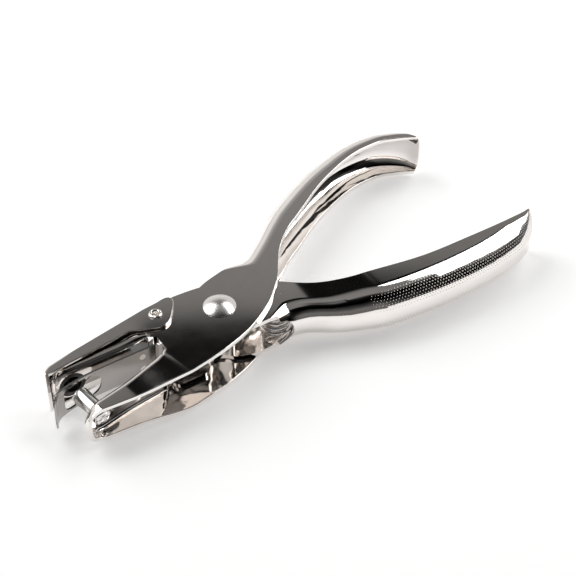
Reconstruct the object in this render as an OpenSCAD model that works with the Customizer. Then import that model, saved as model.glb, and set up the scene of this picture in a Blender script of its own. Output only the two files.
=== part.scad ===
// Single hole punch plier, lying on its side.
// X runs along the die jaw from the nose (-X) to the handles (+X), Y crosses the tool towards
// the punch handle, Z is the pivot axis. The origin is on the pivot axis, in the flat underside
// of the pivot rivet.

/* [Lever sheet] */
// Thickness of the pressed sheet of both levers
sheet = 1.2; // [1:0.1:1.5]
// Outside height of the punch lever over its two cheeks
cheek_h = 14.5; // [14:0.5:17]
// Running gap between the cheeks of the two levers
cheek_gap = 0.15; // [0.1:0.05:0.3]
// Outside height of the handles
handle_h = 14.5; // [14:0.5:17]
// Outside height of the punch jaw at its nose
punch_jaw_h = 11.5; // [10:0.5:12.5]
// Outside height of the die jaw at its nose
die_jaw_h = 10.6; // [10:0.2:11.4]
// Outside corner radius along the back of the handles
handle_round = 6.6; // [5:0.2:6.8]
// Outside corner radius along the throat side of the jaws
jaw_round = 2.2; // [1.8:0.1:3]
// How far each side of the jaws draws in at the domed nose
nose_fall = 1.2; // [0.6:0.1:1.4]

/* [Plan of the levers] */
// Pivot to the tip of a handle
handle_reach = 98.5; // [85:0.5:120]
// Pivot to the nose of a jaw
jaw_reach = 49.5; // [47:0.5:60]
// Pivot to the start of the throat, where the jaw's back wall begins
throat_x = 21.4; // [21:0.2:22.6]
// Pivot to the start of the handle's back wall
hand_x = 15; // [14:0.5:17]
// Half the space that the closed jaws leave between their back walls
throat_y = 1.8; // [1.7:0.1:2.4]
// Depth of the punch jaw at its nose
punch_nose_w = 4; // [3.6:0.2:5]
// Depth of the punch jaw at its root
punch_root_w = 12; // [11:0.5:14]
// Depth of the die jaw at its nose
die_nose_w = 3; // [2.6:0.2:3.6]
// Depth of the die jaw at its root
die_root_w = 8; // [7.4:0.2:8.8]
// Angle by which the punch lever stands open at rest, from its mirrored place
rest_open = 12; // [11:0.5:14]
// Angle by which a squeeze closes it
squeeze = 8.3; // [7:0.1:9]

/* [Pivot] */
// Diameter of the pivot rivet's shank
rivet_d = 5; // [4:0.2:6]
// Diameter of the rivet's heads
rivet_head_d = 9; // [8:0.2:10.5]
// Height of the rivet's domed head
rivet_dome_h = 1.7; // [1.2:0.1:2.4]
// Height of the rivet's flat tail
rivet_tail_h = 1.2; // [0.8:0.1:1.6]
// Radial running clearance of the pins in their holes
run_fit = 0.06; // [0.03:0.01:0.1]
// Wall of the spacer tube round the rivet
spacer_wall = 1.2; // [0.8:0.1:1.5]

/* [Return spring] */
// Wire diameter of the torsion spring
spring_wire = 1.0; // [0.8:0.1:1.1]
// Radius of the coil at the middle of the wire
spring_r = 3.9; // [3.6:0.1:4.4]
// Whole turns of the coil
spring_turns = 3; // [2:1:3]
// Rise of one turn
spring_pitch = 1.7; // [1.6:0.1:2]
// Pivot to the axis of the coil, along the die jaw
spring_x = 14.4; // [13:0.2:15]
// Pivot to the place where the legs rest on the handles' walls
spring_reach = 22; // [21:0.5:26]

/* [Punch and die] */
// Diameter of the punch pin, which is that of the hole it makes
pin_d = 5; // [4.5:0.1:5.5]
// Nose of the die jaw to the axis of the die
die_set = 5.5; // [5.5:0.1:6.5]
// Radial clearance between pin and die
die_fit = 0.1; // [0.08:0.01:0.2]
// Wall of the die bush
die_wall = 1.2; // [0.9:0.1:1.4]
// Length of the die bush
die_len = 2; // [1.6:0.1:2.6]
// How far the squeezed pin passes through the die jaw's wall
pin_over = 0.6; // [0.3:0.1:1]
// Diameter of the pin's tenon in the punch jaw
tenon_d = 3.6; // [3:0.2:4.2]
// Diameter of the tenon's peened end
peen_d = 4.8; // [4.4:0.1:5.4]
// Height of the tenon's peened end
peen_h = 0.9; // [0.5:0.1:1.2]

/* [Stripper and paper stop] */
// Thickness of the stripper sheet
strip_t = 0.6; // [0.5:0.1:0.8]
// Height of the stripper sheet
strip_h = 9; // [8.6:0.1:9]
// Width of the paper slot
slot_w = 2.4; // [1.6:0.1:2.6]
// Height of the opening round the pin
strip_hole_h = 7.6; // [6.8:0.1:7.8]
// Length of the opening round the pin
strip_hole_l = 11.5; // [10:0.5:12]
// Length of the paper stop along the jaw
stop_l = 4.6; // [4:0.2:5.4]
// Shank diameter of the stripper rivets
strip_rivet_d = 1.8; // [1.4:0.1:2]
// Head diameter of the stripper rivets
strip_head_d = 2.8; // [2.4:0.1:3.2]
// Distance between the stripper rivets
strip_rivet_gap = 4.4; // [3.8:0.2:4.8]
// Height of the stripper rivets' heads, inside the die jaw
strip_head_h = 0.5; // [0.3:0.1:0.6]

/* [Chip cover] */
// Thickness of the cover sheet
cover_t = 0.8; // [0.6:0.1:1]
// Clearance between the cover and the die jaw
cover_gap = 0.25; // [0.2:0.05:0.3]
// Width of the cover's flanges at the nose
cover_flange = 3; // [2.6:0.1:3.4]
// Pivot to the cover rivet, along the jaw
cover_rivet_x = 15.9; // [15.5:0.1:16.5]
// Pivot to the cover rivet, across the jaw
cover_rivet_y = 7; // [6.6:0.1:7.4]
// Shank diameter of the cover rivet
cover_rivet_d = 2.6; // [2:0.1:3]
// Head diameter of the cover rivet
cover_head_d = 3.8; // [3.6:0.1:4.4]
// Height of the cover rivet's rolled heads
cover_head_h = 0.5; // [0.4:0.1:0.7]
// Diameter of the hollow in the cover rivet
eyelet_d = 1.6; // [1.2:0.1:1.8]

/* [Hidden] */

nickel = [0.80, 0.79, 0.77];
bright = [0.90, 0.89, 0.87];
tool_steel = [0.62, 0.61, 0.60];

round_fn = 64;
axial_fit = 0.05;
through = 1;
die_x = jaw_reach - die_set;
z_mid = rivet_tail_h + axial_fit + cheek_h / 2;
die_h = cheek_h - 2 * sheet - 2 * cheek_gap;
far = 99;
spring_steps = 8;
wire_sides = 6;
loft_steps = 3;
corner_steps = 3;
least_flange = 1.7;

// Plan of a lever in its closed place: the jaw on the +Y side of the X axis, the handle on the
// -Y side. Jaw points are a share of the way from the throat to the nose, handle points a share
// of the way from the handle's start to its tip.
hand_share = [0, 0.1, 0.2, 0.3, 0.5, 0.7, 0.85, 0.93, 0.98, 1];
hand_start = 20;
punch_hand_back = [-12.6, -16, -20, -23.3, -27.8, -29.5, -27.7, -24, -19, -14];
punch_hand_edge = [2.2, -5.2, -10, -13, -18.6, -21.4, -20.2, -17.6, -15, -13.6];
die_hand_back = [-13, -17.6, -20.8, -22.9, -24.3, -24, -22.2, -19.6, -16.2, -13.4];
die_hand_edge = [1, -5, -8.6, -10.3, -12.9, -13.4, -13.5, -13.4, -13.3, -13.1];
// How far the flange edges stay behind the back wall at the rounded tip, and how far the punch
// handle's wall bulges past the reach there
punch_tip_fall = [0, 0, 0, 0, 0, 0, 0.8, 2.2, 2.6, 2.3];
die_tip_fall = [0, 0, 0, 0, 0, 0, 0.8, 2, 2.2, 1.7];
punch_tip_out = [0, 0, 0, 0, 0, 0, 0, 0.3, 0.8, 1.1];
die_tip_out = [0, 0, 0, 0, 0, 0, 0, 0, 0, 0];

function ease(a, b, t) = let(s = min(1, max(0, t))) a + (b - a) * s * s * (3 - 2 * s);
function hand_at(share) = hand_start + share * (handle_reach - hand_start);

// A smooth curve through a list of points, at parameter u in steps of one point
function curve_at(p, u) =
  let(n = len(p) - 1, i = min(n - 1, floor(u)), t = u - i,
      a = p[max(0, i - 1)], b = p[i], c = p[i + 1], d = p[min(n, i + 2)])
  b + t / 2 * ((c - a) + t * ((2 * a - 5 * b + 4 * c - d) + t * (3 * b - a - 3 * c + d)));

// Outer side of a jaw's flanges at a distance x from the pivot
function jaw_edge(x, nose_w, root_w) =
  root_w + (nose_w - root_w) * (x - throat_x) / (jaw_reach - throat_x);

// Radius of a jaw's nose in plan: the cover leaves the die jaw a small one
punch_nose_r = 2.5;
die_nose_r = 1.2;
nose_arc = 1 - cos(45);
// How far the nose's wall bulges past the reach
punch_nose_out = 0.8;
die_nose_out = 0;
function nose_back(r, out) = [
  [-jaw_reach - out, throat_y + 1.4 * r], [-jaw_reach - out, throat_y + 0.84 * r],
  [-jaw_reach - 0.8 * out + nose_arc * r, throat_y + nose_arc * r], [-jaw_reach + r, throat_y],
  [-jaw_reach + 6, throat_y], [-(jaw_reach + throat_x) / 2, throat_y], [-throat_x - 3, throat_y]];
function nose_edge(r, nose_w, root_w) = [
  [-jaw_reach + least_flange, throat_y + 1.44 * r], [-jaw_reach + 2.2, throat_y + 1.46 * r],
  [-jaw_reach + 3.2, jaw_edge(jaw_reach - 3.2, nose_w, root_w) + throat_y / 2],
  for (x = [jaw_reach - 4.4, jaw_reach - 7, (jaw_reach + throat_x) / 2, throat_x + 2])
    [-x, jaw_edge(x, nose_w, root_w) + throat_y / 2]];

punch_cheek_back = [[-throat_x - 0.8, throat_y], [-13.6, -4.2], [-5, -10], [4, -12], [12, -12]];
punch_cheek_edge = [[-throat_x + 3.4, punch_root_w + throat_y / 2], [-8, 13], [1, 11.8],
                    [10.5, 8.4], [17, 4.4]];
die_cheek_back = [[-throat_x - 0.8, throat_y], [-throat_x + 0.1, throat_y - 1.2],
                  [-throat_x + 0.1, -5], [-throat_x + 1, -11], [-16, -12.8], [-8, -12.8],
                  [2, -12.6], [12, -12]];
die_cheek_edge = [[-throat_x + 1.4, die_root_w + throat_y / 2], [-18.6, 9.3], [-17, 9.8],
                  [-15, 10.5], [-12, 11.3], [-7, 11.6], [2, 10.6], [12, 7.6]];

function lever_back(nose, cheek, hand, out) = concat(nose, cheek,
  [for (i = [0:len(hand) - 1]) [hand_at(hand_share[i]) + out[i], hand[i]]]);
function lever_edge(nose, cheek, hand, out, fall) = concat(nose, cheek,
  [for (i = [0:len(hand) - 1]) [hand_at(hand_share[i]) + out[i] - fall[i], hand[i]]]);

punch_back = lever_back(nose_back(punch_nose_r, punch_nose_out), punch_cheek_back,
  punch_hand_back, punch_tip_out);
punch_edge = lever_edge(nose_edge(punch_nose_r, punch_nose_w, punch_root_w), punch_cheek_edge,
  punch_hand_edge, punch_tip_out, punch_tip_fall);
die_back = lever_back(nose_back(die_nose_r, die_nose_out), die_cheek_back,
  die_hand_back, die_tip_out);
die_edge = lever_edge(nose_edge(die_nose_r, die_nose_w, die_root_w), die_cheek_edge,
  die_hand_edge, die_tip_out, die_tip_fall);

// One cross-section of a lever: a channel with its back wall at 0 and its flange edges at w.
// The outer half of the points comes first, then the inner half in the same order. Where the
// channel gets shallow, at the tips, its round corners turn into halves of an ellipse.
function round_of(r, half) = min(r, half - 0.4);
function channel(w, half, r) =
  let(rz = round_of(r, half), rx = min(rz, w - 0.35), turn = 90 / corner_steps,
      iz = max(0.12, rz - sheet), ix = max(0.12, rx - sheet))
  concat(
    [[w, half]],
    [for (k = [0:corner_steps]) [rx - rx * sin(k * turn), half - rz + rz * cos(k * turn)]],
    [for (k = [0:corner_steps]) [rx - rx * cos(k * turn), rz - half - rz * sin(k * turn)]],
    [[w, -half], [w, half - sheet]],
    [for (k = [0:corner_steps])
      [sheet + ix - ix * sin(k * turn), half - sheet - iz + iz * cos(k * turn)]],
    [for (k = [0:corner_steps])
      [sheet + ix - ix * cos(k * turn), sheet + iz - half - iz * sin(k * turn)]],
    [[w, sheet - half]]);

section_n = 2 * (corner_steps + 1) + 2;

// The pressed channel of a lever, lofted from its nose to the tip of its handle
module channel_loft(back, edge, half_at, round_at) {
  spans = len(back) - 1;
  stations = [for (i = [0:spans - 1]) for (k = [0:loft_steps - 1]) i + k / loft_steps, spans];
  rings = [for (u = stations)
    let(b = curve_at(back, u), e = curve_at(edge, u), w = norm(e - b), d = (e - b) / w)
    [for (q = channel(w, half_at(b[0]), round_at(b[0])))
      [b[0] + d[0] * q[0], b[1] + d[1] * q[0], q[1]]]];
  n = section_n;
  size = 2 * n;
  last = len(rings) - 1;
  // Points of a ring in order round the channel's wall
  lap = concat([for (j = [0:n - 1]) j], [for (j = [n - 1:-1:0]) n + j]);
  walls = [for (i = [0:last - 1]) for (j = [0:size - 1])
    let(a = i * size + lap[j], b = i * size + lap[(j + 1) % size], c = a + size, d = b + size)
    each [[a, c, b], [b, c, d]]];
  caps = [for (i = [0, last]) for (j = [0:n - 2])
    let(a = i * size + j, b = a + 1, c = a + n, d = b + n)
    each (i == 0 ? [[a, b, c], [b, d, c]] : [[a, c, b], [b, c, d]])];
  polyhedron(points = [for (ring = rings) for (p = ring) p], faces = concat(walls, caps));
}

// Half the outside height and the corner radius of the levers along X. The punch jaw narrows from
// its cheeks to its nose, the die handle widens from its nested cheeks to the grip.
punch_ease = 16;
die_ease = 8;
dome_l = 4;
grip_x = 22;
grip_ease = 16;
cheek_round = 1;
round_start = [6, throat_x];
round_ease = [14, 4];
nose_round = 4.2;
nose_l = 5;
function dome(x) = nose_fall * (1 - ease(0, 1, (x + jaw_reach) / dome_l));
function punch_half(x) = ease(cheek_h, punch_jaw_h, (-x - throat_x) / punch_ease) / 2 - dome(x);
function die_half(x) = x > 0 ? ease(die_h, handle_h, (x - grip_x) / grip_ease) / 2
                             : ease(die_h, die_jaw_h, (-x - throat_x) / die_ease) / 2 - dome(x);
function lever_round(x) =
  x > 0 ? ease(cheek_round, handle_round, (x - round_start[0]) / round_ease[0])
        : ease(cheek_round, jaw_round, (-x - round_start[1]) / round_ease[1])
          + ease(0, nose_round - jaw_round, (-x - jaw_reach + nose_l) / nose_l);

// What is cut out of a lever's back wall so that the other lever can cross, with a round end
// in the handle's wall
window_r = 4.2;
window_x = hand_x - 3;
module crossing_cut(line) {
  translate([0, 0, -far])
    linear_extrude(2 * far)
      polygon(concat(line, [[window_x, -far], [-throat_x, -far]]));
  translate([window_x, -hand_start, 0])
    rotate([90, 0, 0])
      cylinder(h = 2 * hand_start, r = window_r, center = true, $fn = round_fn);
}

module bore(d) {
  cylinder(d = d, h = 2 * far, center = true, $fn = round_fn);
}

punch_cut = [[-throat_x, throat_y + 0.6], [-18.2, 2], [-16.6, 1.4], [-12.7, -2.2], [-9.2, -4.7],
             [-5, -7], [-1, -8.8], [4, -9.9], [window_x, -10.2]];
// Points of a round corner of radius r about c, from one angle to another
function corner(c, r, from, to) = [for (k = [0:6])
  let(a = from + (to - from) * k / 6)
  c + r * [cos(a), sin(a)]];
// The die lever's cheeks keep a rounded lug beside the throat
lug_r = 2.2;
lug_front = throat_x - 4.2;
lug_rear = 11;
lug_y = 7.4;
die_cut = concat([[-throat_x, throat_y + 1], [-lug_front - lug_r, throat_y - 0.4]],
  corner([-lug_front, -lug_y], lug_r, 180, 270),
  corner([-lug_rear, -lug_y], lug_r, 270, 320),
  [[-6.6, -5.6], [-4.6, -5.4], [-2.8, -6.2], [0.4, -8.8], [5.2, -10.2], [window_x, -10.2]]);

// Places a shape of the mirrored punch lever at its rest
module at_punch_rest() {
  translate([0, 0, z_mid])
    rotate([0, 0, rest_open])
      mirror([0, 1, 0])
        children();
}

module punch_lever() {
  color(nickel)
    difference() {
      at_punch_rest()
        channel_loft(punch_back, punch_edge,
          function (x) punch_half(x), function (x) lever_round(x));
      at_punch_rest()
        crossing_cut(punch_cut);
      bore(rivet_d + 2 * run_fit);
      pin_place(pin_root - sheet - through)
        cylinder(d = tenon_d + 2 * run_fit, h = sheet + 2 * through, $fn = round_fn);
    }
}

die_hole_d = pin_d + 2 * die_fit + 2 * die_wall;

module die_lever() {
  color(nickel)
    difference() {
      translate([0, 0, z_mid])
        channel_loft(die_back, die_edge,
          function (x) die_half(x), function (x) lever_round(x));
      translate([0, 0, z_mid])
        crossing_cut(die_cut);
      bore(rivet_d + 2 * run_fit);
      translate([-cover_rivet_x, cover_rivet_y, 0])
        bore(cover_rivet_d + 2 * run_fit);
      die_place(-through)
        cylinder(d = die_hole_d, h = sheet + 2 * through, $fn = round_fn);
      strip_rivet_places()
        strip_drill();
    }
}

module pivot_rivet() {
  top = z_mid + cheek_h / 2 + axial_fit;
  head_r = rivet_head_d / 2;
  dome_r = (head_r * head_r + rivet_dome_h * rivet_dome_h) / (2 * rivet_dome_h);
  color(bright)
    union() {
      cylinder(d = rivet_head_d, h = rivet_tail_h, $fn = round_fn);
      cylinder(d = rivet_d, h = top + rivet_dome_h / 2, $fn = round_fn);
      intersection() {
        translate([0, 0, top + rivet_dome_h - dome_r]) sphere(r = dome_r, $fn = round_fn);
        translate([0, 0, top]) cylinder(d = rivet_head_d, h = rivet_dome_h, $fn = round_fn);
      }
    }
}

module pivot_spacer() {
  inner = die_h - 2 * sheet - 2 * axial_fit;
  color(tool_steel)
    translate([0, 0, z_mid])
      difference() {
        cylinder(d = rivet_d + 2 * run_fit + 2 * spacer_wall, h = inner, center = true, $fn = round_fn);
        bore(rivet_d + 2 * run_fit);
      }
}

// The torsion spring: a leg in the die handle, the coil, a leg in the punch handle
leg_gap = 0.5;
part_turn = 0.93;
spring_at = [spring_x, -5.6];
spring_rise = spring_pitch * (spring_turns + part_turn);
function unit(v) = v / norm(v);
// Inner side of a handle's back wall at a height z, measured from its outer side
function wall_in(half, z) =
  let(ro = round_of(handle_round, half), r = ro - sheet, up = min(0.95 * r, max(0, z - half + ro)))
  sheet + r - sqrt(r * r - up * up);
// Where a leg rests inside a handle, in the lever's own plan
function leg_rest(back, edge, cheek, half) =
  let(step = hand_at(hand_share[1]) - hand_start,
      u = len(nose_back(1, 0)) + len(cheek) + (spring_reach - hand_start) / step,
      b = curve_at(back, u), d = unit(curve_at(edge, u) - b))
  b + d * (wall_in(half, (spring_rise + spring_wire) / 2) + spring_wire / 2 + leg_gap);
die_leg = leg_rest(die_back, die_edge, die_cheek_back, die_half(spring_reach));
punch_leg_flat = leg_rest(punch_back, punch_edge, punch_cheek_back, punch_half(spring_reach));
punch_leg = [punch_leg_flat[0] * cos(rest_open) + punch_leg_flat[1] * sin(rest_open),
             punch_leg_flat[0] * sin(rest_open) - punch_leg_flat[1] * cos(rest_open)];
// The legs leave the coil along its tangents
function leg_tangent(leg, side) =
  let(d = leg - spring_at)
  atan2(d[1], d[0]) + side * acos(spring_r / norm(d));
spring_from = leg_tangent(die_leg, 1);
spring_to = leg_tangent(punch_leg, -1);
spring_sweep = 360 * (spring_turns + 1) + spring_to - spring_from;
spring_n = ceil(spring_steps * spring_sweep / 360);
function coil_at(k) =
  let(a = spring_from + spring_sweep * k / spring_n)
  [spring_at[0] + spring_r * cos(a), spring_at[1] + spring_r * sin(a),
   z_mid - spring_rise / 2 + spring_rise * k / spring_n];
spring_line = concat(
  [[die_leg[0], die_leg[1], z_mid - spring_rise / 2]],
  [for (k = [0:spring_n]) coil_at(k)],
  [[punch_leg[0], punch_leg[1], z_mid + spring_rise / 2]]);
spring_gap = min([for (i = [0:spring_n]) for (j = [0:spring_n])
  if (j - i > spring_steps / 2) norm(coil_at(i) - coil_at(j))]) - spring_wire;

module return_spring() {
  last = len(spring_line) - 1;
  rings = [for (i = [0:last])
    let(p = spring_line[i],
        way = unit(spring_line[min(last, i + 1)] - spring_line[max(0, i - 1)]),
        side = unit(cross(way, [0, 0, 1])), up = cross(side, way))
    [for (k = [0:wire_sides - 1])
      let(a = 360 * k / wire_sides)
      p + spring_wire / 2 * (cos(a) * side + sin(a) * up)]];
  walls = [for (i = [0:last - 1]) for (k = [0:wire_sides - 1])
    let(a = i * wire_sides + k, b = i * wire_sides + (k + 1) % wire_sides)
    each [[a, b, a + wire_sides], [b, b + wire_sides, a + wire_sides]]];
  caps = [for (k = [1:wire_sides - 2])
    each [[0, k + 1, k], [last * wire_sides, last * wire_sides + k, last * wire_sides + k + 1]]];
  echo(spring_least_gap = spring_gap);
  color(tool_steel)
    polyhedron(points = [for (r = rings) for (p = r) p], faces = concat(walls, caps));
}

// The pin's axis at rest: children stand on it, with +Z from the punch jaw towards the die and
// 0 at the given distance from the X axis of the squeezed tool
module pin_place(y) {
  rotate([0, 0, squeeze])
    translate([-die_x, y, z_mid])
      rotate([-90, 0, 0])
        children();
}
// Outer face of the punch jaw's back wall at the pin, with the tool squeezed
pin_turn = rest_open - squeeze;
pin_root = -(throat_y + sin(pin_turn) * die_x) / cos(pin_turn);
pin_end = throat_y + sheet + pin_over;

module punch_pin() {
  seat = 0.35;
  color(tool_steel)
    pin_place(pin_root + seat)
      union() {
        cylinder(d = pin_d, h = pin_end - pin_root - seat, $fn = round_fn);
        translate([0, 0, -sheet - 2 * seat - peen_h / 2])
          cylinder(d = tenon_d, h = sheet + 2 * seat + peen_h, $fn = round_fn);
        translate([0, 0, -sheet - 2 * seat - peen_h])
          cylinder(d1 = peen_d - peen_h, d2 = peen_d, h = peen_h, $fn = round_fn);
      }
}

// The die's axis: children stand on it, with +Z from the throat into the die jaw
module die_place(y) {
  translate([-die_x, throat_y + y, z_mid])
    rotate([-90, 0, 0])
      children();
}

module die_bush() {
  color(tool_steel)
    die_place(0)
      difference() {
        cylinder(d = die_hole_d - 2 * run_fit, h = die_len, $fn = round_fn);
        bore(pin_d + 2 * die_fit);
      }
}

// Plan of the stripper: flared mouth, flat run beside the paper slot, curled rear edge
strip_y = throat_y - slot_w - strip_t / 2;
strip_rear = throat_x - 0.4;
mouth_r = 40;
mouth_turn = 17;
curl_r = 2.4;
curl_turn = 62;
lip_r = 5;
lip_turn = 75;
lip_steps = 5;
mouth_l = 12;
strip_flat = jaw_reach - mouth_l;
function mouth_at(a) = [-strip_flat - mouth_r * sin(a), strip_y - mouth_r * (1 - cos(a))];
function curl_at(a) = [-strip_rear + curl_r * sin(a), strip_y - curl_r * (1 - cos(a))];
function lip_at(a) = mouth_at(mouth_turn)
  + lip_r * [sin(mouth_turn) - sin(a), cos(a) - cos(mouth_turn)];
strip_line = concat(
  [for (k = [lip_steps:-1:1]) lip_at(mouth_turn + (lip_turn - mouth_turn) * k / lip_steps)],
  [for (a = [mouth_turn:-3.4:0.1]) mouth_at(a)],
  [[-strip_flat, strip_y], [-strip_rear, strip_y]],
  [for (a = [curl_turn / 5:curl_turn / 5:curl_turn + 0.1]) curl_at(a)]);

// A band of even thickness along a line of points
module band(line, t) {
  last = len(line) - 1;
  side = [for (i = [0:last])
    let(a = line[max(0, i - 1)], b = line[i], c = line[min(last, i + 1)],
        u = i == 0 ? unit(c - b) : unit(b - a), v = i == last ? u : unit(c - b), m = unit(u + v))
    [-m[1], m[0]] / (m * u)];
  polygon(concat(
    [for (i = [0:last]) line[i] + t / 2 * side[i]],
    [for (i = [last:-1:0]) line[i] - t / 2 * side[i]]));
}

hole_shift = 1.3;
// The stripper rivets stand in the middle of the paper stop, with +Z away from the die jaw
stop_set = 0.9;
strip_rivet_x = throat_x + stop_set + stop_l / 2;
module strip_rivet_places() {
  for (s = [-1, 1])
    translate([-strip_rivet_x, throat_y - slot_w, z_mid + s * strip_rivet_gap / 2])
      rotate([90, 0, 0])
        children();
}
module strip_drill() {
  cylinder(d = strip_rivet_d, h = 4 * (slot_w + sheet), center = true, $fn = round_fn);
}

module stripper() {
  ends = (strip_hole_l - strip_hole_h) / 2;
  hole_x = die_x - hole_shift;
  depth = 20;
  color(bright)
    difference() {
      translate([0, 0, z_mid])
        linear_extrude(strip_h, center = true)
          band(strip_line, strip_t);
      for (s = [-1, 1])
        translate([-hole_x + s * ends, 0, z_mid])
          rotate([90, 0, 0])
            cylinder(d = strip_hole_h, h = depth, center = true, $fn = round_fn);
      translate([-hole_x, 0, z_mid])
        cube([2 * ends, depth, strip_hole_h], center = true);
      strip_rivet_places()
        strip_drill();
      lip_cut();
    }
}

// Takes away the upper part of the lip, which leaves it pointed
lip_root = mouth_at(mouth_turn)[1] - 0.65;
lip_end = lip_at(lip_turn)[1] - 0.3;
lip_point = 0.4;
module lip_cut() {
  reach = 20;
  translate([-jaw_reach, 0, z_mid])
    rotate([90, 0, 90])
      linear_extrude(reach, center = true)
        polygon([[lip_root, strip_h], [lip_root, strip_h / 2 - lip_point],
                 [lip_end, lip_point - strip_h / 2], [-far, lip_point - strip_h / 2],
                 [-far, strip_h]]);
}

module paper_stop() {
  color(tool_steel)
    difference() {
      translate([-throat_x - stop_set - stop_l, throat_y - slot_w, z_mid - strip_h / 2])
        cube([stop_l, slot_w, strip_h]);
      strip_rivet_places()
        strip_drill();
    }
}

module stripper_rivets() {
  grip = strip_t + slot_w + sheet;
  foot = strip_t - grip - strip_head_h;
  color(bright)
    strip_rivet_places() {
      translate([0, 0, foot])
        cylinder(d = strip_rivet_d, h = grip + strip_head_h, $fn = round_fn);
      translate([0, 0, foot])
        cylinder(d = strip_head_d, h = strip_head_h, $fn = round_fn);
    }
}

// Plan of the chip cover: its back wall runs beside the die jaw's flanges and round its nose
cover_half = die_h / 2 + cover_gap / 2;
function cover_wall(x, gap) = jaw_edge(x, die_nose_w, die_root_w) + throat_y / 2 + gap;
cover_out = 1.8 * cover_gap + cover_t;
cover_nose = jaw_reach + cover_out;
nose_turn = 3;
nose_end = 2.2;
flange_more = 1.5;
wall_end = throat_x - 2.6;

// The outer line of the cover, drawn in by a distance
function cover_line(inset) =
  let(x = cover_nose - inset, r = nose_turn - inset,
      c = [-cover_nose + nose_turn, cover_wall(cover_nose - nose_turn, cover_out) - nose_turn])
  concat([[-x, nose_end]],
    [for (a = [0:8:80]) c + r * [-cos(a), sin(a)]],
    [[-wall_end, cover_wall(wall_end, cover_out) - inset]]);

// The ears that hold the cover's rivet
cover_ear = concat([[-11.4, 11.3], [-9.6, 11.1], [-8.6, 10.3], [-8.6, 9.2]],
                   corner([-15.2, 3.8], 2.4, -32, -110), [[-17.6, 1.7]]);

module cover_plate() {
  rear = throat_x + 3.6;
  front = jaw_reach - 2.4;
  polygon(concat(cover_line(0), cover_ear,
    [[-rear, cover_wall(rear, cover_out) - cover_flange - flange_more],
     [-front, cover_wall(front, cover_out) - cover_flange],
     [-cover_nose + cover_t + axial_fit, nose_end]]));
}

module chip_cover() {
  color(bright)
    difference() {
      translate([0, 0, z_mid])
        difference() {
          linear_extrude(2 * (cover_half + cover_t), center = true)
            cover_plate();
          linear_extrude(2 * cover_half, center = true)
            polygon(concat([[-cover_nose + cover_t, -far]], cover_line(cover_t),
              [[-wall_end, far], [far, far], [far, -far]]));
        }
      translate([-cover_rivet_x, cover_rivet_y, 0])
        bore(cover_rivet_d + 2 * run_fit);
    }
}

module cover_rivet() {
  half = cover_half + cover_t + axial_fit;
  eyelet_in = 2;
  color(bright)
    translate([-cover_rivet_x, cover_rivet_y, z_mid])
      difference() {
        union() {
          cylinder(d = cover_rivet_d, h = 2 * half + cover_head_h, center = true, $fn = round_fn);
          for (side = [0, 1])
            mirror([0, 0, side])
              translate([0, 0, half])
                cylinder(d1 = cover_head_d, d2 = cover_head_d - cover_head_h, h = cover_head_h,
                  $fn = round_fn);
        }
        translate([0, 0, half - eyelet_in])
          cylinder(d = eyelet_d, h = 2 * eyelet_in, $fn = round_fn);
      }
}

punch_lever();
die_lever();
pivot_rivet();
pivot_spacer();
return_spring();
punch_pin();
die_bush();
stripper();
paper_stop();
stripper_rivets();
chip_cover();
cover_rivet();
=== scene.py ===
"""Looks of a hole punch plier: dense pressed levers with dotted grips, turned and rolled rivets,
a bent stripper, a folded chip cover and a wound spring, in polished nickel plate."""

import math

import bmesh
import bpy
import numpy as np
from mathutils import Matrix, Quaternion, Vector


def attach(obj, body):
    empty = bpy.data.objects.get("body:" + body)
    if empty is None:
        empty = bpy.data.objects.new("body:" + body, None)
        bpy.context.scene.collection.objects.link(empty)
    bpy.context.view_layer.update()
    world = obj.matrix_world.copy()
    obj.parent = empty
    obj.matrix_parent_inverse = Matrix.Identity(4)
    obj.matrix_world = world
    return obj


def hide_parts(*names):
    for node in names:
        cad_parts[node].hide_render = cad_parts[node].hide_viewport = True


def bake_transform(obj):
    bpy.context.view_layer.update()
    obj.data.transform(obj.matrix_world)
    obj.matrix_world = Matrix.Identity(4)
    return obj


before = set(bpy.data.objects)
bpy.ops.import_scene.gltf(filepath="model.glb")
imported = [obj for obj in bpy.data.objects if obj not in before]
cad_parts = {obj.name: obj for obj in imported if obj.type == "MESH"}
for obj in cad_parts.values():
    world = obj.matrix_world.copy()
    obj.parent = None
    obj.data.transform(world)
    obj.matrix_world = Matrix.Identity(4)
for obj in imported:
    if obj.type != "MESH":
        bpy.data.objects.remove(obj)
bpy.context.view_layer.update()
MM = 0.001

# ---------------------------------------------------------------- sizes of the CAD source, in mm
SHEET = 1.2
CHEEK_H, HANDLE_H, PUNCH_JAW_H, DIE_JAW_H = 14.5, 14.5, 11.5, 10.6
CHEEK_GAP = 0.15
HANDLE_ROUND, JAW_ROUND, CHEEK_ROUND, NOSE_ROUND, NOSE_L = 6.6, 2.2, 1.0, 4.2, 5.0
NOSE_FALL, DOME_L, ROUND_SPARE, JAW_STRIP = 1.2, 4.0, 0.4, 0.35
HANDLE_REACH, JAW_REACH = 98.5, 49.5
THROAT_X, THROAT_Y, HAND_X = 21.4, 1.8, 15.0
PUNCH_NOSE_W, PUNCH_ROOT_W, DIE_NOSE_W, DIE_ROOT_W = 4.0, 12.0, 3.0, 8.0
PUNCH_NOSE_R, DIE_NOSE_R, PUNCH_NOSE_OUT = 2.5, 1.2, 0.8
REST_OPEN, SQUEEZE = 12.0, 8.3
RIVET_D, RIVET_HEAD_D, RIVET_DOME_H, RIVET_TAIL_H = 5.0, 9.0, 1.7, 1.2
RUN_FIT, AXIAL_FIT = 0.06, 0.05
PIN_D, TENON_D, PEEN_D, PIN_OVER, PIN_SEAT = 5.0, 3.6, 4.8, 0.6, 0.35
DIE_FIT, DIE_WALL, DIE_LEN = 0.1, 1.2, 2.0
DIE_X = JAW_REACH - 5.5
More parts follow.
